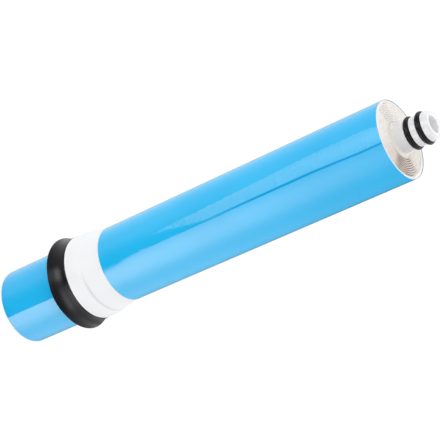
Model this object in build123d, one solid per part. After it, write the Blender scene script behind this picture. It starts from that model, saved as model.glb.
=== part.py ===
from build123d import *
import os
from math import acos, cos, degrees, radians, sin

# Spiral-wound reverse osmosis membrane element, standing on its feed end.
# The tube's axis is Z, the feed end face lies on z = 0 and the product stub points up.
# All sizes are in millimetres.

# Permeate tube
roll_length = 276.0
stub_length = 22.0
tube_radius = 8.5
tube_wall = 3.25
end_web_thickness = 3.0
end_recess_depth = 5.0
end_edge_chamfer = 0.4
tip_chamfer_length = 1.6
tip_chamfer_depth = 0.8
mouth_chamfer = 0.5

# Collecting holes, each drilled right through the tube
hole_radius = 0.8
hole_stations = 6
hole_pitch = 40.0
drill_overrun = 1.0

# O-rings on the stub, with the outer one measured from the stub's tip
ring_section_radius = 1.55
ring_stand_out = 1.05
ring_side_clearance = 0.25
outer_ring_setback = 5.75
ring_spacing = 7.2

# Wound sheets
carrier_thickness = 0.31
carrier_start_angle = 10.0
membrane_thickness = 0.17
spacer_thickness = 0.65
leaf_turns = 9
spacer_setback = 0.4

# Wraps over the roll
roll_tape_thickness = 1.19
film_thickness = 0.25

# Brine seal, with its height measured from the feed end
seal_lip_height = 42.6
seal_lip_length = 5.9
seal_lip_flare = 2.7
seal_lip_thickness = 1.15
seal_groove_width = 0.7
seal_nose_setback = 2.0
seal_nose_chamfer = 0.3
seal_collar_length = 5.5
seal_sleeve_length = 8.0
seal_sleeve_wall = 2.6
seal_tape_recess = 0.45
seal_end_chamfer = 0.8

# Tape that holds the brine seal, measured along the axis from its butt edge or the sleeve's end
tape_butt_clearance = 0.25
tape_butt_wall = 0.43
tape_shoulder_wall = 0.2
tape_crease_run = 2.8
tape_crease_wall = 1.96
tape_bridge_run = 5.5
tape_cone_run = 10.4
tape_cone_wall = 0.25
tape_tail_run = 4.0
tape_tail_wall = 0.1

# Heights and radii that follow from the sizes above
overall_length = roll_length + stub_length
bore_radius = tube_radius - tube_wall
outer_ring_height = overall_length - outer_ring_setback
inner_ring_height = outer_ring_height - ring_spacing
ring_outer_radius = tube_radius + ring_stand_out
groove_floor_radius = ring_outer_radius - 2 * ring_section_radius
groove_half_width = ring_section_radius + ring_side_clearance
pitch = carrier_thickness + 2 * membrane_thickness + spacer_thickness
spacer_offset = carrier_thickness + membrane_thickness

# The winding is a chain of half turns, each an arc about a centre on the X axis.
# Even half turns lie at positive Y and odd ones at negative Y, and neighbours share a tangent.
# The carrier alone makes half turns 0 and 1, and the spacer alone makes the last one.
leaf_start = 2
leaf_end = leaf_start + 2 * leaf_turns - 1
tail = leaf_end + 1


def half_turn(index):
    """Centre on the X axis and inner radius of one half turn of the winding."""
    if index < leaf_start:
        return index * carrier_thickness / 2, tube_radius + index * carrier_thickness / 2
    centre = pitch / 4 if index % 2 else -pitch / 4
    first_radius = tube_radius + carrier_thickness + pitch / 4
    return centre, first_radius + (index - leaf_start) * pitch / 2


def half_arc(index, offset, start=0.0):
    """Arc of a half turn at an offset from its inner side, from a start angle to its end."""
    centre, radius = half_turn(index)
    turned = 180.0 if index % 2 else 0.0
    return CenterArc((centre, 0), radius + offset, turned + start, 180.0 - start)


def winding(offset, first, last):
    """Arcs of several half turns in a row, all at one offset."""
    return [half_arc(index, offset) for index in range(first, last + 1)]


def start_point(index, offset, angle=0.0):
    centre, radius = half_turn(index)
    reach = radius + offset if index % 2 == 0 else -radius - offset
    return centre + reach * cos(radians(angle)), reach * sin(radians(angle))


def end_point(index, offset):
    centre, radius = half_turn(index)
    side = 1 if index % 2 else -1
    return centre + side * (radius + offset), 0


def bridge(point, index, offset):
    """Straight run from a point on the X axis to where it touches a half turn, and its angle."""
    centre, radius = half_turn(index)
    side = -1 if index % 2 else 1
    reach = radius + offset
    angle = acos(reach / (side * (point[0] - centre)))
    touch = (centre + side * reach * cos(angle), side * reach * sin(angle))
    return Line(point, touch), degrees(angle)


def sheet(edges, bottom, top):
    """Sheet that stands between two heights on a closed outline."""
    outline = Face(Wire(edges))
    return Pos(0, 0, bottom) * extrude(outline, top - bottom, dir=(0, 0, 1))


def turned(*edges):
    """Solid turned about Z from a closed profile drawn as radius and height."""
    return revolve(Plane.XZ * Face(Wire(edges)), Axis.Z)


def permeate_carrier():
    """Cloth that starts on the tube, makes one turn alone and then lies between the leaf's turns."""
    edges = []
    for offset in (0, carrier_thickness):
        edges.append(half_arc(0, offset, carrier_start_angle))
        edges += winding(offset, 1, leaf_end)
    ends = [
        Line(
            start_point(0, 0, carrier_start_angle),
            start_point(0, carrier_thickness, carrier_start_angle),
        ),
        Line(end_point(leaf_end, 0), end_point(leaf_end, carrier_thickness)),
    ]
    return sheet(edges + ends, 0, roll_length)


def fold(low, high):
    """Half circle that closes the leaf's fold between two offsets."""
    low_x = start_point(leaf_start, low)[0]
    high_x = start_point(leaf_start, high)[0]
    return CenterArc(((low_x + high_x) / 2, 0), (high_x - low_x) / 2, 180, 180)


def membrane_leaf():
    """One sheet folded in two near the tube, with both halves wound round it."""
    inner_half = (carrier_thickness, spacer_offset)
    outer_half = (spacer_offset + spacer_thickness, pitch)
    edges = [fold(inner_half[0], outer_half[1]), fold(inner_half[1], outer_half[0])]
    for low, high in (inner_half, outer_half):
        edges += winding(low, leaf_start, leaf_end)
        edges += winding(high, leaf_start, leaf_end)
        edges.append(Line(end_point(leaf_end, low), end_point(leaf_end, high)))
    return sheet(edges, 0, roll_length)


def feed_spacer():
    """Net between the leaf's halves, with a tail that runs on over the roll."""
    low, high = spacer_offset, spacer_offset + spacer_thickness
    inner_drop, inner_angle = bridge(end_point(leaf_end, low), tail, 0)
    outer_drop, outer_angle = bridge(end_point(leaf_end, high), tail, spacer_thickness)
    edges = [
        Line(start_point(leaf_start, low), start_point(leaf_start, high)),
        *winding(low, leaf_start, leaf_end),
        *winding(high, leaf_start, leaf_end),
        inner_drop,
        outer_drop,
        half_arc(tail, 0, inner_angle),
        half_arc(tail, spacer_thickness, outer_angle),
        Line(end_point(tail, 0), end_point(tail, spacer_thickness)),
    ]
    return sheet(edges, spacer_setback, roll_length - spacer_setback)


def roll_reach():
    """Largest distance from the axis to the outside of the wound sheets."""
    return max(end_point(leaf_end, pitch)[0], -end_point(tail, spacer_thickness)[0])


roll_tape_radius = roll_reach() + roll_tape_thickness
film_radius = roll_tape_radius + film_thickness


def roll_tape():
    """Tape turns round the roll, pulled straight across the steps at both sheet ends."""
    leaf_step, leaf_angle = bridge(end_point(leaf_end, pitch), tail, spacer_thickness)
    tail_step, tail_angle = bridge(end_point(tail, spacer_thickness), leaf_end, pitch)
    inside = [
        leaf_step,
        half_arc(tail, spacer_thickness, leaf_angle),
        tail_step,
        half_arc(leaf_end, pitch, tail_angle),
    ]
    section = Face(Wire([CenterArc((0, 0), roll_tape_radius, 0, 360)]), [Wire(inside)])
    return extrude(section, roll_length, dir=(0, 0, 1))


def outer_film():
    section = Circle(film_radius) - Circle(roll_tape_radius)
    return extrude(section, roll_length)


def groove_profile(ring_height):
    """Corners of one O-ring groove, from the roll outwards."""
    low = ring_height - groove_half_width
    high = ring_height + groove_half_width
    return [
        (tube_radius, low),
        (groove_floor_radius, low),
        (groove_floor_radius, high),
        (tube_radius, high),
    ]


def collecting_holes():
    """Cross holes along the wound length, with every second one turned a quarter."""
    first = (roll_length - (hole_stations - 1) * hole_pitch) / 2
    drill = Cylinder(hole_radius, 2 * (tube_radius + drill_overrun))
    return [
        Pos(0, 0, first + step * hole_pitch) * Rot(0, 0, 90 * (step % 2)) * Rot(90, 0, 0) * drill
        for step in range(hole_stations)
    ]


def permeate_tube():
    """Tube closed near the feed end, with two O-ring grooves on the stub."""
    web_top = end_recess_depth + end_web_thickness
    profile = Polyline(
        (0, end_recess_depth),
        (bore_radius, end_recess_depth),
        (bore_radius, end_edge_chamfer),
        (bore_radius + end_edge_chamfer, 0),
        (tube_radius - end_edge_chamfer, 0),
        (tube_radius, end_edge_chamfer),
        *groove_profile(inner_ring_height),
        *groove_profile(outer_ring_height),
        (tube_radius, overall_length - tip_chamfer_length),
        (tube_radius - tip_chamfer_depth, overall_length),
        (bore_radius + mouth_chamfer, overall_length),
        (bore_radius, overall_length - mouth_chamfer),
        (bore_radius, web_top),
        (0, web_top),
        close=True,
    )
    return turned(*profile.edges()) - collecting_holes()


def o_ring(ring_height):
    centre_radius = ring_outer_radius - ring_section_radius
    return Pos(0, 0, ring_height) * Torus(centre_radius, ring_section_radius)


# Brine seal radii and heights that its tape shares
seal_seat_radius = film_radius + seal_sleeve_wall
seal_collar_radius = seal_seat_radius + seal_tape_recess
seal_collar_bottom = seal_lip_height + seal_lip_length
seal_collar_top = seal_collar_bottom + seal_collar_length
seal_top = seal_collar_top + seal_sleeve_length


def brine_seal():
    """Rubber sleeve with a flared lip and a groove that opens towards the feed end."""
    lip_tip = (seal_collar_radius + seal_lip_flare, seal_lip_height)
    lip_outer = TangentArc((seal_collar_radius, seal_collar_bottom), lip_tip, tangent=(0, -1))
    lip_direction = lip_outer % 1
    across = Vector(lip_direction.Y, -lip_direction.X) * seal_lip_thickness
    rim_inner = Vector(*lip_tip) + across
    rim = Line(lip_tip, rim_inner)
    groove_outer = seal_collar_radius - seal_lip_thickness
    groove_inner = groove_outer - seal_groove_width
    nose_bottom = seal_lip_height + seal_nose_setback
    lip_inner = TangentArc((groove_outer, seal_collar_bottom), rim_inner, tangent=(0, -1))
    body = Polyline(
        (groove_outer, seal_collar_bottom),
        (groove_inner, seal_collar_bottom),
        (groove_inner, nose_bottom + seal_nose_chamfer),
        (groove_inner - seal_nose_chamfer, nose_bottom),
        (film_radius, nose_bottom),
        (film_radius, seal_top),
        (seal_seat_radius - seal_end_chamfer, seal_top),
        (seal_seat_radius, seal_top - seal_end_chamfer),
        (seal_seat_radius, seal_collar_top),
        (seal_collar_radius, seal_collar_top),
        (seal_collar_radius, seal_collar_bottom),
    )
    return turned(lip_outer, rim, lip_inner, *body.edges())


def seal_tape():
    """Tape turns over the seal's sleeve that slope down onto the film."""
    butt = seal_collar_top + tape_butt_clearance
    shoulder = seal_top - seal_end_chamfer
    crease = seal_top + tape_crease_run
    cone_end = crease + tape_cone_run
    tail_end = cone_end + tape_tail_run
    profile = Polyline(
        (seal_seat_radius, butt),
        (seal_seat_radius + tape_butt_wall, butt),
        (seal_seat_radius + tape_shoulder_wall, shoulder),
        (film_radius + tape_crease_wall, crease),
        (film_radius + tape_cone_wall, cone_end),
        (film_radius + tape_tail_wall, tail_end),
        (film_radius, tail_end),
        (film_radius, seal_top + tape_bridge_run),
        (seal_seat_radius - seal_end_chamfer, seal_top),
        (seal_seat_radius, shoulder),
        close=True,
    )
    return turned(*profile.edges())


pieces = {
    "permeate_tube": permeate_tube(),
    "inner_o_ring": o_ring(inner_ring_height),
    "outer_o_ring": o_ring(outer_ring_height),
    "permeate_carrier": permeate_carrier(),
    "membrane_leaf": membrane_leaf(),
    "feed_spacer": feed_spacer(),
    "roll_tape": roll_tape(),
    "outer_film": outer_film(),
    "brine_seal": brine_seal(),
    "seal_tape": seal_tape(),
}

os.makedirs("parts", exist_ok=True)
for name, piece in pieces.items():
    piece.label = name
    export_step(piece, f"parts/{name}.step")
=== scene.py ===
import math

import bpy
import numpy as np
from mathutils import Matrix


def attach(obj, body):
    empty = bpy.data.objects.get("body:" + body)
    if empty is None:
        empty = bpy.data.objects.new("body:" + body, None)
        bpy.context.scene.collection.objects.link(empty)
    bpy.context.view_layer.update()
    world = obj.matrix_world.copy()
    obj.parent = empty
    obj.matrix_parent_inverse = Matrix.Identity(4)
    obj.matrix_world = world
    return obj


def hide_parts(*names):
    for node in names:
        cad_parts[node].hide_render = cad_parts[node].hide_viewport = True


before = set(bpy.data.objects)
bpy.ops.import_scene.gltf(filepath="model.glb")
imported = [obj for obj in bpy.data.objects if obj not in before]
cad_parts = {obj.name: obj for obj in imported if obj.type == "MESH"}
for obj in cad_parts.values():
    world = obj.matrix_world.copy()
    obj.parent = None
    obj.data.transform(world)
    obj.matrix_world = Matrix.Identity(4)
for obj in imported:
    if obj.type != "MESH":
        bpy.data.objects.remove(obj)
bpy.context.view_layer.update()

MM = 0.001

# Sizes that the pieces share with the solids, in millimetres
ROLL = 276.0
TUBE_RADIUS = 8.5
BORE_RADIUS = 5.25
RING_RADIUS = 8.0
RING_SECTION = 1.60
RING_HEIGHTS = {"inner": 285.05, "outer": 292.25}
FILM_RADIUS = 23.25
FILM_INNER = 23.0
SEAL_BOTTOM = 42.6
COLLAR_BOTTOM = 48.5
COLLAR_TOP = 54.0
COLLAR_RADIUS = 26.3
SEAT_RADIUS = 25.85
SEAL_TOP = 62.0


# Mesh helpers

def new_object(name, vertices, faces, smooth_angle=40.0):
    """Object with smooth shading, apart from edges sharper than the angle."""
    mesh = bpy.data.meshes.new(name)
    mesh.from_pydata([tuple(v) for v in np.asarray(vertices) * MM], [], faces)
    mesh.validate()
    mesh.shade_smooth()
    mesh.set_sharp_from_angle(angle=math.radians(smooth_angle))
    made = bpy.data.objects.new(name, mesh)
    bpy.context.scene.collection.objects.link(made)
    return made


def ring_faces(rows, columns):
    """Quads of a grid that closes on itself both ways."""
    faces = []
    for i in range(rows):
        a, b = i * columns, (i + 1) % rows * columns
        for j in range(columns):
            k = (j + 1) % columns
            faces.append((a + j, a + k, b + k, b + j))
    return faces


def lathe(name, profile, columns, shape=None, smooth_angle=40.0):
    """Closed profile of radius and height turned about Z. The shape may move each point."""
    profile = np.asarray(profile, float)
    angles = np.linspace(0, 2 * math.pi, columns, endpoint=False)
    radius = np.repeat(profile[:, 0:1], columns, axis=1)
    height = np.repeat(profile[:, 1:2], columns, axis=1)
    if shape:
        radius, height = shape(radius, height, angles[None, :])
    points = np.stack([radius * np.cos(angles), radius * np.sin(angles), height], axis=-1)
    faces = ring_faces(len(profile), columns)
    return new_object(name, points.reshape(-1, 3), faces, smooth_angle)


# Material helpers

class Nodes:
    """Short names for the nodes of one material or world."""

    def __init__(self, tree):
        self.tree = tree
        tree.nodes.clear()

    def add(self, kind, inputs=None, **settings):
        node = self.tree.nodes.new(kind)
        for key, value in settings.items():
            setattr(node, key, value)
        for key, value in (inputs or {}).items():
            self.put(node.inputs[key], value)
        return node

    def put(self, socket, value):
        if isinstance(value, bpy.types.NodeSocket):
            self.tree.links.new(value, socket)
        else:
            socket.default_value = value

    def math(self, operation, a, b=0.0, clamp=False):
        node = self.add("ShaderNodeMath", operation=operation, use_clamp=clamp)
        self.put(node.inputs[0], a)
        self.put(node.inputs[1], b)
        return node.outputs[0]

    def smooth(self, value, low, high, out_low=0.0, out_high=1.0, curve="SMOOTHSTEP"):
        """Value carried from one range to another, and held at the ends."""
        node = self.add("ShaderNodeMapRange", {
            "Value": value, "From Min": low, "From Max": high, "To Min": out_low, "To Max": out_high,
        }, interpolation_type=curve)
        return node.outputs[0]

    def noise(self, scale, vector, detail=3.0):
        node = self.add("ShaderNodeTexNoise", {"Scale": scale, "Detail": detail, "Vector": vector})
        return node.outputs["Fac"]

    def patchy(self, scale, vector, low, high):
        """Number that wanders between two values over the surface."""
        return self.smooth(self.noise(scale, vector), 0.3, 0.7, low, high)

    def mix(self, factor, a, b):
        """Blend of two colours."""
        node = self.add("ShaderNodeMix", data_type="RGBA")
        for index, value in ((0, factor), (6, a), (7, b)):
            self.put(node.inputs[index], value)
        return node.outputs[2]

    def blend(self, factor, a, b):
        """Blend of two numbers."""
        node = self.add("ShaderNodeMix", data_type="FLOAT")
        for index, value in ((0, factor), (2, a), (3, b)):
            self.put(node.inputs[index], value)
        return node.outputs[0]

    def ramp(self, value, stops):
        node = self.add("ShaderNodeValToRGB")
        elements = node.color_ramp.elements
        while len(elements) > 1:
            elements.remove(elements[-1])
        elements[0].position, elements[0].color = stops[0]
        for position, colour in stops[1:]:
            elements.new(position).color = colour
        self.put(node.inputs["Fac"], value)
        return node.outputs["Color"]

    def bump(self, height, strength, distance):
        node = self.add("ShaderNodeBump", {
            "Height": height, "Strength": strength, "Distance": distance,
        })
        return node.outputs["Normal"]

    def place(self):
        """Point on the object in metres."""
        return self.add("ShaderNodeTexCoord").outputs["Object"]

    def attribute(self, name):
        return self.add("ShaderNodeAttribute", attribute_name=name).outputs["Fac"]

    def scaled(self, vector, x, y, z):
        node = self.add("ShaderNodeVectorMath", operation="MULTIPLY")
        self.put(node.inputs[0], vector)
        node.inputs[1].default_value = (x, y, z)
        return node.outputs[0]

    def split(self, vector):
        return self.add("ShaderNodeSeparateXYZ", {"Vector": vector}).outputs

    def radius(self, place):
        """Distance of a point from the Z axis."""
        x, y, z = self.split(place)
        squares = self.math("ADD", self.math("MULTIPLY", x, x), self.math("MULTIPLY", y, y))
        return self.math("SQRT", squares)

    def facing(self, place, degrees):
        """Cosine of the angle about Z between a point and a direction."""
        x, y, z = self.split(place)
        angle = self.math("ARCTAN2", y, x)
        return self.math("COSINE", self.math("SUBTRACT", angle, math.radians(degrees)))


def rgba(r, g, b):
    return (r, g, b, 1.0)


def material(name, build):
    made = bpy.data.materials.new(name)
    made.use_nodes = True
    nodes = Nodes(made.node_tree)
    shader = nodes.add("ShaderNodeBsdfPrincipled")
    output = nodes.add("ShaderNodeOutputMaterial")
    nodes.tree.links.new(shader.outputs[0], output.inputs[0])
    build(nodes, shader.inputs)
    return made


def dress(piece, look):
    piece.data.materials.clear()
    piece.data.materials.append(look)


# Looks

# Directions of the glue stains and of the side with painted shade, in degrees about Z
NEAR_STAIN_ANGLE = -17
FAR_STAIN_ANGLE = -166
SHADED_SIDE_ANGLE = -28

# Heights in metres between which the lap loses its ragged start, and the film is painted darker, as
# painted shade towards the stub end
RAGGED_HEIGHTS = (0.132, 0.158)
PAINTED_END_SHADE_HEIGHTS = (0.17, 0.276)

# Pitch of the thin tape turns on their cut end, in metres
TAPE_TURN = 0.00016


def film_look(n, out):
    place = n.place()
    lap_and_sheen = n.attribute("lap_and_sheen")
    line = n.attribute("lap_edge_and_shadow")
    cloud = n.smooth(n.noise(18.0, place, 2.0), 0.35, 0.65)
    base = n.mix(cloud, rgba(0.013, 0.483, 0.875), rgba(0.019, 0.507, 0.91))
    height = n.split(place)[2]
    patchy = n.smooth(n.noise(520.0, place), 0.36, 0.56, 0.25, 1.0)
    ragged = n.math("MAXIMUM", patchy, n.smooth(height, *RAGGED_HEIGHTS, 0.0, 0.95))
    # Painted shade: the film's colour darkens towards the stub end
    painted_end_shade = n.smooth(height, *PAINTED_END_SHADE_HEIGHTS, 0.0, 0.45)
    base = n.mix(painted_end_shade, base, rgba(0.014, 0.455, 0.865))
    # The lap strip is painted lighter: partly the double film's own tint, partly a painted reflection
    strip = n.math("SUBTRACT", 0.85, n.math("MULTIPLY", painted_end_shade, 0.5))
    strip = n.math("MULTIPLY", n.math("MULTIPLY", lap_and_sheen, ragged), strip)
    base = n.mix(strip, base, rgba(0.105, 0.555, 0.92))
    # Dark line along the lap's free edge: partly the double film's edge, partly a painted shadow
    base = n.mix(n.math("MULTIPLY", line, 0.9), base, rgba(0.001, 0.355, 0.74))
    n.put(out["Base Color"], base)
    out["Specular Tint"].default_value = rgba(1.0, 0.78, 0.60)
    smudge = n.patchy(60.0, place, 0.04, 0.07)
    n.put(out["Roughness"], n.math("ADD", smudge, n.math("MULTIPLY", lap_and_sheen, 0.22)))
    out["IOR"].default_value = 1.55
    fine = n.noise(900.0, n.scaled(place, 1, 1, 0.5), 2.0)
    n.put(out["Normal"], n.bump(fine, 0.04, 0.0002))


def film_cut_look(n, out):
    place = n.place()
    base = n.mix(n.noise(900.0, place), rgba(0.40, 0.54, 0.66), rgba(0.54, 0.66, 0.75))
    n.put(out["Base Color"], base)
    out["Roughness"].default_value = 0.4


# Inner wall of the film's proud rim, painted dark grey-blue as painted shade
def film_lining_look(n, out):
    place = n.place()
    base = n.mix(n.noise(700.0, place), rgba(0.17, 0.24, 0.33), rgba(0.26, 0.34, 0.43))
    n.put(out["Base Color"], base)
    out["Roughness"].default_value = 0.35


def tape_look(n, out):
    place = n.place()
    # The crease is painted darker grey, as painted shade in its hollow
    crease = n.math("MULTIPLY", n.attribute("crease"), 0.5)
    base = n.mix(n.noise(30.0, place, 2.0), rgba(0.85, 0.853, 0.868), rgba(0.875, 0.878, 0.893))
    n.put(out["Base Color"], n.mix(crease, base, rgba(0.52, 0.52, 0.56)))
    n.put(out["Roughness"], n.patchy(90.0, place, 0.40, 0.5))
    out["IOR"].default_value = 1.45
    n.put(out["Normal"], n.bump(n.noise(700.0, n.scaled(place, 1, 1, 3)), 0.06, 0.0002))


def tape_cut_look(n, out):
    """Cut end of many thin tape turns, with fine lines between them."""
    place = n.place()
    turn = n.math("MULTIPLY", n.radius(place), 2 * math.pi / TAPE_TURN)
    wander = n.math("MULTIPLY", n.noise(80.0, place), 6.0)
    line = n.smooth(n.math("SINE", n.math("ADD", turn, wander)), 0.2, 1.0, 0.0, 0.5)
    base = n.mix(n.noise(300.0, place), rgba(0.88, 0.86, 0.85), rgba(0.93, 0.91, 0.90))
    n.put(out["Base Color"], n.mix(line, base, rgba(0.62, 0.55, 0.50)))
    out["Roughness"].default_value = 0.45
    n.put(out["Normal"], n.bump(n.noise(1800.0, place), 0.15, 0.0001))


def rubber_look(n, out):
    place = n.place()
    base = n.mix(n.noise(70.0, place), rgba(0.005, 0.005, 0.007), rgba(0.010, 0.009, 0.012))
    n.put(out["Base Color"], base)
    rings = n.noise(220.0, n.scaled(place, 0.15, 0.15, 8.0))
    n.put(out["Roughness"], n.smooth(rings, 0.3, 0.7, 0.18, 0.30))
    out["IOR"].default_value = 1.27
    grain = n.math("ADD", n.noise(1500.0, place), n.math("MULTIPLY", rings, 0.8))
    n.put(out["Normal"], n.bump(grain, 0.10, 0.0001))


def ring_look(n, out):
    place = n.place()
    base = n.mix(n.noise(200.0, place), rgba(0.004, 0.004, 0.004), rgba(0.009, 0.009, 0.009))
    n.put(out["Base Color"], base)
    n.put(out["Roughness"], n.patchy(300.0, place, 0.20, 0.30))
    out["IOR"].default_value = 1.27
    n.put(out["Normal"], n.bump(n.noise(2500.0, place), 0.05, 0.0001))


def plastic_look(n, out):
    """White plastic, painted lighter inside the bore than outside, as painted light against the bore's
    shade.
    """
    place = n.place()
    outer_tone = n.mix(n.noise(50.0, place), rgba(0.76, 0.765, 0.785), rgba(0.79, 0.795, 0.815))
    outside = n.smooth(n.radius(place), (BORE_RADIUS + 0.15) * MM, (BORE_RADIUS + 0.95) * MM)
    # The bore's lighter colour is painted light
    n.put(out["Base Color"], n.mix(outside, rgba(0.95, 0.95, 0.95), outer_tone))
    n.put(out["Roughness"], n.patchy(150.0, place, 0.08, 0.14))
    out["IOR"].default_value = 1.5
    n.put(out["Normal"], n.bump(n.noise(600.0, place), 0.03, 0.0002))


def glue_stain(n, place):
    """How far glue has darkened the sheets' edges, on two sides of the roll but not at the tube."""
    near = n.smooth(n.facing(place, NEAR_STAIN_ANGLE), 0.74, 0.94)
    far = n.smooth(n.facing(place, FAR_STAIN_ANGLE), 0.92, 0.985, 0.0, 0.35)
    off_tube = n.smooth(n.radius(place), (TUBE_RADIUS + 1.5) * MM, (TUBE_RADIUS + 3.3) * MM)
    return n.math("MULTIPLY", n.math("ADD", near, far), off_tube)


def painted_side_shade(n, place, base):
    """Colour of a sheet's edge, painted a little darker on one side, as painted shade."""
    shade_amount = n.smooth(n.facing(place, SHADED_SIDE_ANGLE), 0.2, 0.9, 0.0, 0.34)
    shade_amount = n.math("MULTIPLY", shade_amount, n.patchy(90.0, place, 0.7, 1.0))
    return n.mix(shade_amount, base, rgba(0.56, 0.44, 0.37))


def carrier_look(n, out):
    """Cream cloth. Glue has stained its edge brown on two sides of the roll."""
    place = n.place()
    blotch = n.smooth(n.noise(160.0, place), 0.30, 0.55, 0.75, 1.0)
    amount = n.math("ADD", n.math("MULTIPLY", glue_stain(n, place), blotch), 0.02, clamp=True)
    cream = n.mix(n.noise(400.0, place), rgba(0.80, 0.75, 0.70), rgba(0.88, 0.84, 0.80))
    # The cloth's edge is painted darker on one side, as painted shade
    n.put(out["Base Color"], n.mix(amount, painted_side_shade(n, place, cream), rgba(0.060, 0.030, 0.015)))
    out["Roughness"].default_value = 0.5
    n.put(out["Normal"], n.bump(n.noise(2500.0, place), 0.3, 0.0002))


def resin_look(n, out):
    place = n.place()
    base = n.mix(n.noise(250.0, place), rgba(0.74, 0.70, 0.64), rgba(0.83, 0.80, 0.76))
    n.put(out["Base Color"], base)
    n.put(out["Roughness"], n.patchy(500.0, place, 0.22, 0.4))
    out["IOR"].default_value = 1.5
    n.put(out["Normal"], n.bump(n.noise(700.0, place), 0.15, 0.0003))


def membrane_look(n, out):
    place = n.place()
    base = n.mix(n.noise(300.0, place), rgba(0.90, 0.87, 0.84), rgba(0.95, 0.93, 0.91))
    blotch = n.smooth(n.noise(220.0, place), 0.35, 0.6, 0.30, 0.55)
    amount = n.math("MULTIPLY", glue_stain(n, place), blotch)
    # The sheet's edge is painted darker on one side, as painted shade
    n.put(out["Base Color"], n.mix(amount, painted_side_shade(n, place, base), rgba(0.26, 0.16, 0.10)))
    out["Roughness"].default_value = 0.55
    n.put(out["Normal"], n.bump(n.noise(3000.0, place), 0.2, 0.0001))


def net_look(n, out):
    place = n.place()
    cells = n.add("ShaderNodeTexVoronoi", {"Scale": 900.0, "Vector": n.scaled(place, 1, 1, 0.4)})
    strand = cells.outputs["Distance"]
    base = n.ramp(strand, [
        (0.0, rgba(0.94, 0.92, 0.89)), (0.55, rgba(0.90, 0.87, 0.83)), (0.9, rgba(0.82, 0.77, 0.71)),
    ])
    # The net's edge is painted darker on one side, as painted shade
    n.put(out["Base Color"], painted_side_shade(n, place, base))
    out["Roughness"].default_value = 0.5
    n.put(out["Normal"], n.bump(strand, 0.3, 0.0003))


FILM = material("blue_wrap_film", film_look)
FILM_CUT = material("film_cut_edge", film_cut_look)
TAPE = material("white_tape", tape_look)
TAPE_CUT = material("cut_tape_turns", tape_cut_look)
RUBBER = material("black_rubber", rubber_look)
RING = material("o_ring_rubber", ring_look)
PLASTIC = material("white_plastic", plastic_look)
CARRIER = material("glued_carrier_cloth", carrier_look)
RESIN = material("glue_resin", resin_look)
FILM_LINING = material("film_inner_side_painted_shade", film_lining_look)
MEMBRANE = material("membrane_sheet", membrane_look)
NET = material("spacer_net", net_look)

for node, look in {
    "permeate_tube": PLASTIC,
    "inner_o_ring": RING,
    "outer_o_ring": RING,
    "permeate_carrier": CARRIER,
    "membrane_leaf": MEMBRANE,
    "feed_spacer": NET,
    "roll_tape": TAPE_CUT,
    "outer_film": FILM,
    "brine_seal": RUBBER,
    "seal_tape": TAPE,
}.items():
    dress(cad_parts[node], look)


# Wrap film with its lap

LAP_HEIGHTS = (0.0, 105.0, 121.0, 140.0, 180.0, 230.0, 262.0, 276.0)
LAP_START = (-95.5, -96.5, -104.5, -107.1, -110.0, -114.9, -115.8, -113.9)
LAP_END = (-90.0, -90.0, -90.0, -90.1, -90.5, -91.0, -88.2, -88.5)
# Heights and angles of the lower edge of the lap strip that is painted lighter, partly as a painted
# reflection
STRIP_HEIGHTS = (108.0, 121.0, 130.0, 140.0, 150.0, 162.0, 276.0)
STRIP_LOW = (-105.0, -103.6, -101.6, -97.8, -94.0, -90.0, -89.0)
LAP_SHOWS = (108, 128)
LAP_LINE_SHOWS = (135, 190)
LAP_STEP = 0.08
FILM_RIM = 0.3

# Points across the lap's free edge: degrees past it, rise in lap steps, and strength of the dark line,
# which is partly the film's double edge and partly a painted shadow
LAP_EDGE = (
    (-2.7, 1.0, 0.0), (-2.1, 1.15, 0.6), (-1.1, 1.6, 1.0), (-0.05, 2.0, 1.0),
    (0.06, 0.0, 1.0), (0.55, 0.0, 0.7), (0.9, 0.0, 0.0),
)

# Faint waves of the film: waves round the roll, pitch along it and size
FILM_WAVES = ((2, 71, 0.010), (3, 43, 0.006), (5, 23, 0.004), (9, 6.1, 0.0016))


def add_values(piece, name, values):
    """Gives each vertex of a piece a number that its material reads."""
    attribute = piece.data.attributes.new(name, "FLOAT", "POINT")
    attribute.data.foreach_set("value", values.astype(np.float32).ravel())


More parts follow.
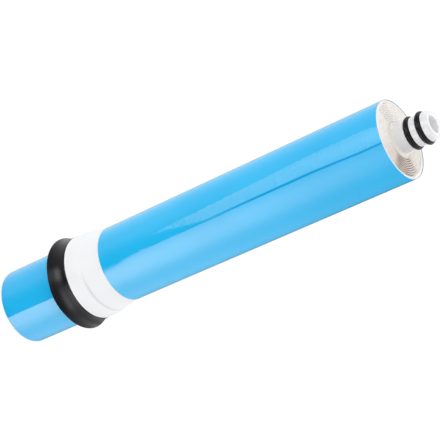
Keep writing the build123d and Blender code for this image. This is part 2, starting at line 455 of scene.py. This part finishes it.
def wrap_film():
    """Film of one turn whose outer edge lies over its start, along a slightly slanted strip."""
    rng = np.random.default_rng(11)
    heights = np.linspace(0, ROLL, 277)
    wave = 0.5 * np.sin(2 * math.pi * heights / 6.1 + 1.0)
    wave += 0.35 * np.sin(2 * math.pi * heights / 3.7)
    wave += np.convolve(rng.normal(0, 1, len(heights) + 8), np.ones(9) / 9, "valid") * 0.5
    start = np.interp(heights, LAP_HEIGHTS, LAP_START)
    start += wave * np.interp(heights, (90, 125), (0, 1))
    end = np.interp(heights, LAP_HEIGHTS, LAP_END)

    # Columns of vertices, each with its angle, rise and line
    columns = []
    for a in (-1.5, -0.8, 0.0, 0.8):
        columns.append((start + a, max(0.0, (a + 0.8) / 1.6), 0.0))
    for u in np.linspace(0, 1, 9)[1:-1]:
        columns.append(((start + 1.0) * (1 - u) + (end - 3.0) * u, 1.0, 0.0))
    for a, raised, line in LAP_EDGE:
        columns.append((end + a, raised, line))
    for u in np.linspace(0, 1, 110)[1:-1]:
        columns.append(((end + 0.9) * (1 - u) + (start + 358.5) * u, 0.0, 0.0))
    across = len(columns)
    angles, raised, line = (np.array([c[i] for c in columns]) for i in range(3))
    angles = np.radians(angles)
    raised = raised[:, None] * np.interp(heights, LAP_SHOWS, (0, 1))
    line = line[:, None] * np.interp(heights, LAP_LINE_SHOWS, (0, 1))
    low = np.interp(heights, STRIP_HEIGHTS, STRIP_LOW)
    strip = np.clip((low + 0.9 - np.degrees(angles)) / 1.8, 0, 1)

    radius = FILM_RADIUS + LAP_STEP * raised
    for turns, pitch, size in FILM_WAVES:
        phase = rng.uniform(0, 2 * math.pi, 2)
        along = np.sin(2 * math.pi * heights / pitch + phase[1])
        radius = radius + size * np.sin(turns * angles + phase[0]) * along
    level = np.broadcast_to(heights, radius.shape)
    outer = np.stack([radius * np.cos(angles), radius * np.sin(angles), level], -1)
    outer = outer.transpose(1, 0, 2)
    inner = np.stack([FILM_INNER * np.cos(angles), FILM_INNER * np.sin(angles)], -1)
    inner = inner.transpose(1, 0, 2)

    # Rows from the inner side of the feed end, up the outside, and down the rim at the other end
    bottom = np.concatenate([inner[0], np.full((across, 1), 0.0)], 1)
    rim = outer[-1] + np.array([0.0, 0.0, FILM_RIM])
    top = np.concatenate([inner[-1], np.full((across, 1), ROLL + FILM_RIM)], 1)
    face = np.concatenate([inner[-1], np.full((across, 1), ROLL)], 1)
    points = np.concatenate([bottom[None], outer, rim[None], top[None], face[None]])
    rows = len(points)
    piece = new_object("wrap_film", points.reshape(-1, 3), ring_faces(rows, across), 30)

    # Where the lap is painted lighter, as the double film's tint and a painted reflection; its
    # roughness is real
    lap_and_sheen = np.clip(raised, 0, 1) * (1 - np.clip(line, 0, 1)) * strip
    for name, shown in (("lap_and_sheen", lap_and_sheen), ("lap_edge_and_shadow", line)):
        values = np.zeros((rows, across))
        values[1:-3] = shown.T
        values[-3] = values[-4]
        add_values(piece, name, values)
    for look in (FILM, FILM_CUT, FILM_LINING):
        piece.data.materials.append(look)
    # Cut ends get the cut look; the rim's inner wall gets the painted shade
    look_index = np.zeros((rows, across), np.int32)
    look_index[[0, -3]] = 1
    look_index[-2] = 2
    piece.data.polygons.foreach_set("material_index", look_index.ravel())
    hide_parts("outer_film")
    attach(piece, "root")


# Brine seal, pulled on very slightly askew

LIP_RADIUS = 29.0
LIP_CURVE = ((COLLAR_RADIUS, 53.6), (26.35, 50.5), (26.75, 46.2), (LIP_RADIUS, SEAL_BOTTOM))
LIP_RIM = (28.249, 41.729)
LIP_BULGE = (0.10, -0.12)
GROOVE_OUTER = 25.15
GROOVE_INNER = 24.45
GROOVE_ARC = (34.097, 8.947)
NOSE_BOTTOM = 44.6
SLEEVE_CHAMFER = 0.8
LIFT_ANGLES = (-190, -165, -140, -110, -98, -84, -72, -50, -30, -10, 20, 90, 170)
LIP_LIFT = (0.68, 0.95, 1.08, 1.05, 0.82, 0.25, 0.12, 0.18, -0.15, -0.25, -0.43, -0.28, 0.68)
COLLAR_LIFT = (0.75, 0.90, 0.98, 0.95, 0.88, 0.75, 0.62, 0.38, 0.30, 0.20, -0.10, -0.05, 0.75)


def seal_lift(height, angles):
    """Height that the slightly askew fit adds to a point of the seal or of the tape's edge."""
    degrees = np.degrees(angles)
    degrees = np.where(degrees > 170, degrees - 360, degrees)
    lip, collar = (
        sum(np.interp(degrees + d, LIFT_ANGLES, lift, period=360) for d in range(-6, 7, 3)) / 5
        for lift in (LIP_LIFT, COLLAR_LIFT)
    )
    up = np.clip((height - SEAL_BOTTOM) / (COLLAR_TOP - SEAL_BOTTOM), 0, 1)
    over = np.clip((height - COLLAR_TOP) / (SEAL_TOP - 1.0 - COLLAR_TOP), 0, 1)
    return (lip * (1 - up) + collar * up) * (1 - over)


def seal_piece():
    """Rubber sleeve with a flared lip, and a groove behind the lip that opens towards the feed end."""
    control = np.array(LIP_CURVE)
    t = np.linspace(0, 1, 22)[:, None]
    outer = (
        (1 - t) ** 3 * control[0] + 3 * (1 - t) ** 2 * t * control[1]
        + 3 * (1 - t) * t ** 2 * control[2] + t ** 3 * control[3]
    )
    tip, rim = control[3], np.array(LIP_RIM)
    edge = [
        tip + (rim - tip) * u + np.array(LIP_BULGE) * math.sin(math.pi * u) * 0.6
        for u in (0.12, 0.3, 0.5, 0.7, 0.88)
    ]
    centre, reach = GROOVE_ARC
    inner_heights = LIP_RIM[1] + (COLLAR_BOTTOM - LIP_RIM[1]) * np.linspace(0, 1, 16)[:-1]
    inner = [(centre - math.sqrt(reach ** 2 - (COLLAR_BOTTOM - h) ** 2), h) for h in inner_heights]
    groove = [
        (GROOVE_OUTER, COLLAR_BOTTOM - 0.3),
        (GROOVE_OUTER - 0.1, COLLAR_BOTTOM - 0.08),
        (GROOVE_OUTER - 0.3, COLLAR_BOTTOM),
        (GROOVE_INNER + 0.3, COLLAR_BOTTOM),
        (GROOVE_INNER + 0.1, COLLAR_BOTTOM - 0.08),
        (GROOVE_INNER, COLLAR_BOTTOM - 0.3),
    ]
    nose = [
        (GROOVE_INNER, NOSE_BOTTOM + 0.3),
        (GROOVE_INNER - 0.1, NOSE_BOTTOM + 0.08),
        (GROOVE_INNER - 0.3, NOSE_BOTTOM),
        (FILM_RADIUS, NOSE_BOTTOM),
    ]
    sleeve = [
        (FILM_RADIUS, SEAL_TOP),
        (SEAT_RADIUS - SLEEVE_CHAMFER, SEAL_TOP),
        (SEAT_RADIUS, SEAL_TOP - SLEEVE_CHAMFER),
        (SEAT_RADIUS, COLLAR_TOP),
        (COLLAR_RADIUS - 0.22, COLLAR_TOP),
        (COLLAR_RADIUS - 0.07, COLLAR_TOP - 0.08),
    ]
    profile = np.array(list(outer) + edge + inner + groove + nose + sleeve)

    def shape(radius, height, angles):
        soft = 0.04 * np.sin(3 * angles + 0.7) * np.clip((radius - 26.0) / 3.0, 0, 1)
        return np.minimum(radius + soft, LIP_RADIUS), height + seal_lift(height, angles)

    piece = lathe("lip_seal", profile, 200, shape, 40)
    dress(piece, RUBBER)
    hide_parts("brine_seal")
    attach(piece, "root")


# Tape over the seal's sleeve

TAPE_OUTLINE = (
    (26.20, 54.25), (26.28, 54.33), (26.22, 56.5), (26.05, 61.2), (25.95, 62.3), (25.55, 64.0),
    (25.15, 65.0), (24.90, 66.5), (24.3, 70.2), (23.62, 74.3), (23.44, 76.0), (23.36, 79.1),
    (23.34, 79.2),
)
TAPE_SEAT = (
    (SEAT_RADIUS, 54.25), (SEAT_RADIUS, 61.2), (25.05, 62.0), (FILM_RADIUS, 67.5), (FILM_RADIUS, 79.2),
)
TAPE_WALL = 0.06
TAPE_END_ANGLE = -24.0
TAPE_END_STEP = 0.14
CREASE_HEIGHT = 65.6
CREASE_DEPTH = 0.42
CREASE_WIDTH = 0.75
SWELL_HEIGHT = 0.12
SWELL_WIDTH = 1.5
SWELL_BELOW_CREASE = 2.2

# How deep the crease is at some angles, as a share of its full depth
CREASE_ANGLES = (-180, -150, -100, -70, 60, 110, 150, 180)
CREASE_SHARES = (0.0, 0.0, 0.0, 1.0, 1.0, 0.25, 0.0, 0.0)

# Faint ripples of the tape: waves round it, pitch along it and size
TAPE_WAVES = ((3, 19, 0.02), (7, 11, 0.012), (13, 7, 0.008))


def seal_tape_piece():
    """Tape turns over the sleeve, pulled down onto the film, with a crease beyond the sleeve's end."""
    outline = np.array(TAPE_OUTLINE)
    heights = np.concatenate([[54.25], np.arange(54.5, 79.0, 0.35), [79.2]])
    radii = np.interp(heights, outline[:, 1], outline[:, 0])
    smooth = np.convolve(np.pad(radii, 2, "edge"), np.ones(5) / 5, "valid")
    radii[3:-3] = smooth[3:-3]
    degrees = np.sort(np.concatenate([
        np.linspace(-180, 180, 240, endpoint=False),
        [TAPE_END_ANGLE - TAPE_END_STEP, TAPE_END_ANGLE + TAPE_END_STEP],
    ]))
    angles = np.radians(degrees)
    rng = np.random.default_rng(5)
    depth = np.interp(degrees, CREASE_ANGLES, CREASE_SHARES)
    wander = sum(0.35 * np.sin(k * angles + rng.uniform(0, 6)) / k for k in (1, 2, 3, 5))
    centre = CREASE_HEIGHT + wander * 0.6 - np.clip((degrees + 30) / 40, 0, 1) * 1.2
    gap = heights[:, None] - centre
    groove = np.exp(-(gap / CREASE_WIDTH) ** 2) * depth
    swell = np.exp(-((gap + SWELL_BELOW_CREASE) / SWELL_WIDTH) ** 2) * depth
    last_turn = np.interp(degrees, (-180, -170), (0.03, 0.05))
    last_turn = np.where(degrees > TAPE_END_ANGLE, 0.0, last_turn)
    radius = radii[:, None] - CREASE_DEPTH * groove + SWELL_HEIGHT * swell + last_turn
    for turns, pitch, size in TAPE_WAVES:
        phase = rng.uniform(0, 2 * math.pi, 2)
        along = np.sin(2 * math.pi * heights / pitch + phase[1])[:, None]
        ripple = size * np.sin(turns * angles + phase[0]) * along
        radius = radius + ripple * np.interp(heights, (56, 60, 74, 78), (0, 1, 1, 0))[:, None]
    seat = np.array(TAPE_SEAT)
    radius = np.maximum(radius, np.interp(heights, seat[:, 1], seat[:, 0])[:, None] + TAPE_WALL)

    # The tape's inner side follows its seat, down from its far edge
    radius = np.concatenate([radius, np.repeat(seat[::-1, :1], len(angles), axis=1)])
    level = np.concatenate([heights, seat[::-1, 1]])[:, None]
    level = np.broadcast_to(level, radius.shape)
    level = level + seal_lift(level, angles[None, :])
    points = np.stack([radius * np.cos(angles), radius * np.sin(angles), level], -1)
    faces = ring_faces(len(points), len(angles))
    piece = new_object("seal_wrap_tape", points.reshape(-1, 3), faces, 40)
    # Where the tape is painted darker along the crease, as painted shade
    crease_shade_mark = np.zeros(radius.shape)
    crease_shade_mark[:len(heights)] = np.exp(-(gap / 0.65) ** 2) * depth
    add_values(piece, "crease", crease_shade_mark)
    dress(piece, TAPE)
    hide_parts("seal_tape")
    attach(piece, "root")


# O-rings

MOULD_LINE_HEIGHT = 0.03
MOULD_LINE_WIDTH = 0.06


def o_ring_piece(name, node, height):
    """Rubber ring with the faint parting line of its mould round the outside."""
    turn = np.linspace(0, 2 * math.pi, 40, endpoint=False)
    off_line = np.minimum(turn, 2 * math.pi - turn)
    section = RING_SECTION + MOULD_LINE_HEIGHT * np.exp(-(off_line / MOULD_LINE_WIDTH) ** 2)
    profile = np.stack([RING_RADIUS + section * np.cos(turn), height + section * np.sin(turn)], 1)
    piece = lathe(name, profile, 160, smooth_angle=80)
    dress(piece, RING)
    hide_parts(node)
    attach(piece, "root")


# Glue that has risen a little round the tube's foot

GLUE_REACH = 1.75
GLUE_RISE = 1.5
GLUE_INSIDE = TUBE_RADIUS - 0.02
GLUE_BOTTOM = ROLL - 0.05


def glue_fillet():
    """Hollow slope from the tube to the roll's face, a little uneven round the tube."""
    def shape(radius, height, angles):
        rise = 1 + 0.10 * np.sin(2 * angles + 0.6) + 0.06 * np.sin(5 * angles + 2.0)
        return radius, ROLL + (height - ROLL) * rise

    slope = [
        (TUBE_RADIUS + GLUE_REACH * (1 - math.sin(a)), ROLL + GLUE_RISE * (1 - math.cos(a)))
        for a in np.linspace(0, math.pi / 2, 7)
    ]
    inside = [(GLUE_INSIDE, ROLL + GLUE_RISE), (GLUE_INSIDE, GLUE_BOTTOM)]
    profile = [(TUBE_RADIUS + GLUE_REACH, GLUE_BOTTOM)] + slope + inside
    piece = lathe("glue_fillet", profile, 120, shape, 50)
    dress(piece, RESIN)
    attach(piece, "root")


wrap_film()
glue_fillet()
seal_piece()
seal_tape_piece()
o_ring_piece("stub_ring_inner", "inner_o_ring", RING_HEIGHTS["inner"])
o_ring_piece("stub_ring_outer", "outer_o_ring", RING_HEIGHTS["outer"])


# Camera at the photograph's viewing angle

PHOTO_LENS = 135.751
PHOTO_PLACE = (0.089234, -0.816175, 0.642104)
PHOTO_RIGHT = (0.354964, 0.508985, 0.784177)
PHOTO_UP = (-0.930217, 0.108633, 0.350561)
PHOTO_BACK = (0.093244, -0.853892, 0.512028)


def photo_camera():
    data = bpy.data.cameras.new("photo_camera")
    data.lens = PHOTO_LENS
    data.sensor_width = 36.0
    data.clip_start = 0.05
    data.clip_end = 20.0
    camera = bpy.data.objects.new("photo_camera", data)
    bpy.context.scene.collection.objects.link(camera)
    turn = Matrix((PHOTO_RIGHT, PHOTO_UP, PHOTO_BACK)).transposed()
    camera.matrix_world = Matrix.Translation(PHOTO_PLACE) @ turn.to_4x4()
    bpy.context.scene.camera = camera


photo_camera()


# Studio: a pale floor, and a world that holds all the light

FLOOR_HALF = 4.0
FLOOR_DROP = 0.0002
FLOOR_GLOW = 1.06
FLOOR_GLOW_SHARE = 0.85

# Radiance by azimuth, as pairs of degrees and radiance. SHADE, KEY and FAR hold for directions
# more than 23 degrees below the horizon, LOW_BOXES for those up to 7 degrees below it, AROUND
# for the next ones, and OVERHEAD from 46 degrees up.
SHADE = (
    (-200, 1.02), (-168, 0.82), (-160, 0.85), (-145, 0.75), (-128, 0.30), (-112, 0.08),
    (-97.5, 0.03), (-60, 0.03), (200, 0.03),
)
KEY = (
    (-200, 1.15), (-100, 2.6), (-93, 3.0), (-79, 4.4), (-68, 4.9), (-60, 4.8), (-46, 4.4),
    (-30, 3.1), (-23, 2.5), (-14, 2.05), (2, 1.6), (18, 1.4), (34, 1.15), (50, 0.75),
    (70, 0.40), (90, 0.35), (105, 0.0), (200, 0.0),
)
FAR = ((-200, 0.0), (90, 0.0), (119, 0.9), (135, 1.05), (160, 1.0), (168, 0.97), (200, 0.8))
LOW_BOXES = (
    (-200, 0.85), (-165, 0.65), (-150, 0.60), (-140, 0.60), (-134, 7.5), (-112, 7.5),
    (-104, 1.4), (-92, 1.4), (-75, 4.0), (-60, 5.0), (-40, 5.0), (-25, 1.8), (-12, 1.5),
    (16, 1.7), (44, 1.3), (90, 1.1), (120, 1.1), (160, 0.85), (200, 0.85),
)
AROUND = (
    (-200, 0.80), (-165, 0.62), (-150, 0.60), (-140, 0.60), (-134, 2.4), (-112, 2.4),
    (-104, 0.70), (-92, 0.45), (-67, 0.40), (-45, 0.45), (-20, 1.0), (0, 1.40), (35, 1.55),
    (90, 1.15), (130, 0.70), (140, 1.5), (162, 1.5), (170, 0.60), (200, 0.60),
)
OVERHEAD = 1.28


def studio_floor():
    """Floor that stays out of reflections. It clips to white, so its shadow hardly shows."""
    corners = np.array([(-1, -1, 0), (1, -1, 0), (1, 1, 0), (-1, 1, 0)])
    floor = new_object("floor", corners * FLOOR_HALF / MM, [(0, 1, 2, 3)])
    floor.location.z = -FLOOR_DROP
    made = bpy.data.materials.new("pale_floor")
    made.use_nodes = True
    n = Nodes(made.node_tree)
    matt = n.add("ShaderNodeBsdfDiffuse", {"Color": rgba(0.88, 0.88, 0.88)})
    bright = n.add("ShaderNodeEmission", {"Color": rgba(1, 1, 1), "Strength": FLOOR_GLOW})
    path = n.add("ShaderNodeLightPath")
    share = n.math("MULTIPLY", path.outputs["Is Camera Ray"], FLOOR_GLOW_SHARE)
    both = n.add("ShaderNodeMixShader", {0: share})
    n.put(both.inputs[1], matt.outputs[0])
    n.put(both.inputs[2], bright.outputs[0])
    output = n.add("ShaderNodeOutputMaterial")
    n.put(output.inputs[0], both.outputs[0])
    dress(floor, made)
    floor.visible_glossy = False


def by_azimuth(n, share, panels, top):
    """Radiance from one of the tables. The ramp holds shares of a top value, so they stay under 1."""
    stops = [((a + 200) / 400, rgba(v / top, v / top, v / top)) for a, v in panels]
    return n.math("MULTIPLY", n.ramp(share, stops), top)


def studio_world():
    """White to the camera. Tall soft lights stand round the object, below the horizon too."""
    world = bpy.data.worlds.new("studio")
    bpy.context.scene.world = world
    world.use_nodes = True
    n = Nodes(world.node_tree)
    direction = n.add("ShaderNodeTexCoord").outputs["Generated"]
    x, y, z = n.split(direction)
    degrees = n.math("MULTIPLY", n.math("ARCTAN2", y, x), 180 / math.pi)
    share = n.math("DIVIDE", n.math("ADD", degrees, 200.0), 400.0)
    shade = by_azimuth(n, share, SHADE, 2.0)
    key = by_azimuth(n, share, KEY, 5.0)
    far = by_azimuth(n, share, FAR, 2.0)
    fall = n.smooth(z, -0.56, -0.40, 1.0, 0.29, "LINEAR")
    fall = n.math("MULTIPLY", fall, n.smooth(z, -0.80, -0.64, 0.22, 1.0))
    lit = n.math("ADD", n.math("MULTIPLY", key, fall), far)

    # Shade and light meet at an edge that turns a little with height
    edge = n.smooth(z, -0.592, -0.556, -75.0, -95.0)
    below = n.blend(n.smooth(n.math("SUBTRACT", degrees, edge), -1.0, 1.5), shade, lit)
    low_boxes = by_azimuth(n, share, LOW_BOXES, 8.0)
    around = by_azimuth(n, share, AROUND, 3.0)
    above = n.blend(n.smooth(z, -0.18, -0.08), low_boxes, around)
    above = n.blend(n.smooth(z, 0.64, 0.80), above, OVERHEAD)
    strength = n.blend(n.smooth(z, -0.415, -0.365), below, above)
    path = n.add("ShaderNodeLightPath")
    seen = n.blend(path.outputs["Is Camera Ray"], strength, 1.0)
    background = n.add("ShaderNodeBackground", {"Color": rgba(1, 1, 1), "Strength": seen})
    output = n.add("ShaderNodeOutputWorld")
    n.put(output.inputs[0], background.outputs[0])


studio_floor()
studio_world()

bpy.context.scene.view_settings.view_transform = "Standard"

SOLID_SMOOTH_ANGLE = 35
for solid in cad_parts.values():
    solid.data.shade_smooth()
    solid.data.set_sharp_from_angle(angle=math.radians(SOLID_SMOOTH_ANGLE))
